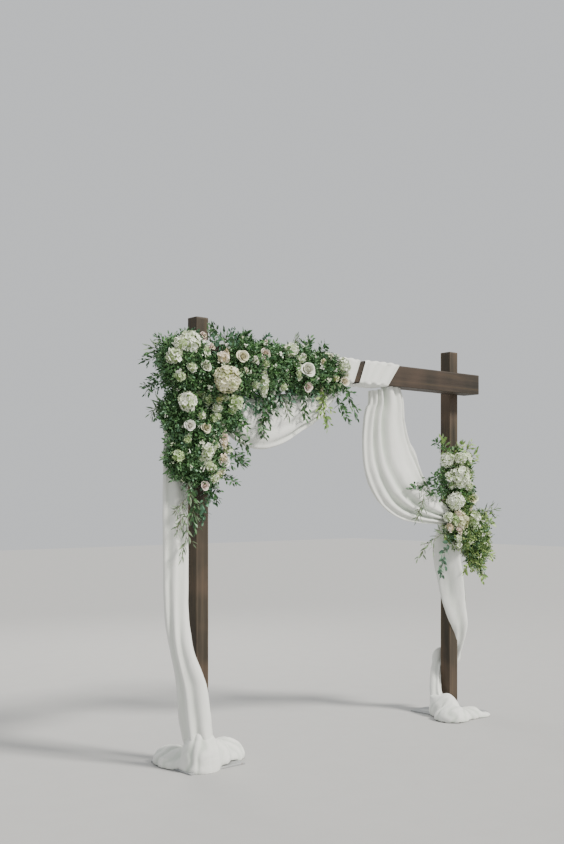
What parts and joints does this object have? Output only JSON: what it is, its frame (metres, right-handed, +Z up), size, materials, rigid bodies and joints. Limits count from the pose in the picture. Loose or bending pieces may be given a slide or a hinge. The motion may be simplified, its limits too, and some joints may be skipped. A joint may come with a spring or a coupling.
{
  "type": "floral arch",
  "caption": "Square timber wedding arch on steel base plates, draped with white chiffon and dressed with greenery, hydrangeas and roses at one corner and on the other post.",
  "frame": {"origin": "on the floor, at the middle of the ground that the arch covers, about half way between the posts and just in front of them", "axes": "+X along the cross beam to the right as seen from the front, +Y to the back, +Z up"},
  "size_m": [3.0321, 0.6391, 2.622],
  "materials": {
    "timber": "satin",
    "steel": "matte",
    "chiffon": "matte",
    "leaves": "satin",
    "fine_leaves": "satin",
    "white_bloom": "matte",
    "cream_bloom": "matte",
    "blush_bloom": "matte",
    "green_bloom": "matte"
  },
  "bodies": {
    "root": {"left_post": "timber", "right_post": "timber", "cross_beam": "timber", "left_base_plate": "steel", "right_base_plate": "steel", "corner_wrap": "chiffon", "swag_hitch": "chiffon", "centre_wrap": "chiffon", "sweep_wrap": "chiffon", "left_fall": "chiffon", "swag": "chiffon", "sweep": "chiffon", "post_wrap": "chiffon", "left_heap": "chiffon", "right_heap": "chiffon", "hydrangea_top": "white_bloom", "hydrangea_top_left": "white_bloom", "hydrangea_left": "white_bloom", "hydrangea_centre": "cream_bloom", "hydrangea_pale": "green_bloom", "hydrangea_mid": "white_bloom", "hydrangea_right": "white_bloom", "hydrangea_green": "green_bloom", "hydrangea_low": "white_bloom", "rose_upper_left": "white_bloom", "rose_upper": "cream_bloom", "rose_blush": "blush_bloom", "rose_mid": "white_bloom", "rose_mid_low": "blush_bloom", "rose_right": "cream_bloom", "rose_post_left": "white_bloom", "rose_post_right": "blush_bloom", "rose_post_low": "white_bloom", "rose_post_tip": "blush_bloom", "stock_mid": "white_bloom", "right_hydrangea_top": "white_bloom", "right_hydrangea_peak": "white_bloom", "right_hydrangea_big": "white_bloom", "right_hydrangea_mid": "white_bloom", "right_hydrangea_low": "cream_bloom", "right_rose_side": "white_bloom", "right_rose_low": "white_bloom", "corner_greenery": "leaves", "beam_greenery_left": "leaves", "beam_greenery_right": "leaves", "inner_greenery": "leaves", "post_greenery_upper": "leaves", "post_greenery_lower": "leaves", "right_greenery_upper": "fine_leaves", "right_greenery_lower": "fine_leaves"}
  },
  "joints": []
}
